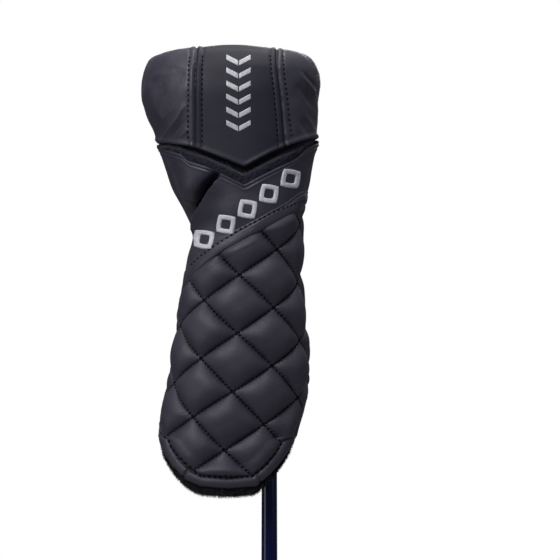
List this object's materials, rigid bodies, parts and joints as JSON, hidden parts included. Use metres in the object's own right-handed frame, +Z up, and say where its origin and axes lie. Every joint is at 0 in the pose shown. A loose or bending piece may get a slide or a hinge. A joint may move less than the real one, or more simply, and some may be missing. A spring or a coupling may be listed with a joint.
{
  "type": "fairway wood",
  "caption": "Right-handed fairway wood with an adjustable hosel, shown head up and wearing its padded, quilted black headcover.",
  "frame": {"origin": "centre of the grip cap's end face, at the mouth of its vent hole", "axes": "+Z up the shaft towards the head, +X the way the club face looks, +Y the way the toe leans (the sole and the printed side of the cover look towards -Y)"},
  "size_m": [0.1144, 0.1272, 1.142],
  "materials": {
    "shaft_paint": "gloss",
    "grip_rubber": "matt",
    "cap_rubber": "matt",
    "tape": "matt",
    "ferrule_plastic": "gloss",
    "plug_plastic": "matt",
    "adapter_aluminium": "satin anodised",
    "bolt_steel": "satin",
    "head_steel": "satin black plating",
    "face_steel": "satin",
    "crown_carbon": "gloss",
    "weight_steel": "satin",
    "leather_black": "satin",
    "pile_black": "matt",
    "elastic_black": "matt",
    "silver_mark": "satin"
  },
  "bodies": {
    "shaft_assembly": {"shaft": "shaft_paint", "tip_plug": "plug_plastic", "ferrule": "ferrule_plastic", "hosel_adapter": "adapter_aluminium", "adjuster_ring": "adapter_aluminium", "grip_tape": "tape", "grip": "grip_rubber", "grip_cap": "cap_rubber"},
    "head": {"head_shell": "head_steel", "face_insert": "face_steel", "crown": "crown_carbon"},
    "hosel_bolt": {"hosel_bolt": "bolt_steel", "bolt_washer": "bolt_steel"},
    "front_weight": {"front_weight": "weight_steel"},
    "rear_weight": {"rear_weight": "weight_steel"},
    "headcover": {"centre_front_panel": "leather_black", "centre_back_panel": "leather_black", "left_side_panel": "leather_black", "right_side_panel": "leather_black", "gusset_band": "pile_black", "collar": "leather_black", "collar_hem": "leather_black", "sleeve_front": "leather_black", "sleeve_back": "leather_black", "front_hem": "leather_black", "back_hem": "leather_black", "waist_elastic": "elastic_black", "pocket_lining": "pile_black", "sleeve_lining": "pile_black", "printed_bars": "silver_mark", "stitched_diamonds": "silver_mark"}
  },
  "joints": [
    {"name": "head_release", "type": "slide", "parent": "shaft_assembly", "child": "head", "axis": [0, 0, 1], "range_m": [0, 0.045]},
    {"name": "hosel_bolt_turn", "type": "hinge", "parent": "head", "child": "hosel_bolt", "pos_m": [0, 0, 1.082], "axis": [0, 0, 1], "continuous": true},
    {"name": "front_weight_turn", "type": "hinge", "parent": "head", "child": "front_weight", "pos_m": [0, 0.03041, 1.11127], "axis": [0, -0.5446, 0.8387], "continuous": true},
    {"name": "rear_weight_turn", "type": "hinge", "parent": "head", "child": "rear_weight", "pos_m": [-0.044, 0.0311, 1.10838], "axis": [0, -0.5446, 0.8387], "continuous": true},
    {"name": "headcover_pull", "type": "slide", "parent": "head", "child": "headcover", "axis": [0, 0, 1], "range_m": [0, 0.33], "deforming": ["collar", "collar_hem", "sleeve_front", "sleeve_back", "front_hem", "back_hem", "waist_elastic", "pocket_lining", "sleeve_lining", "stitched_diamonds"]}
  ]
}
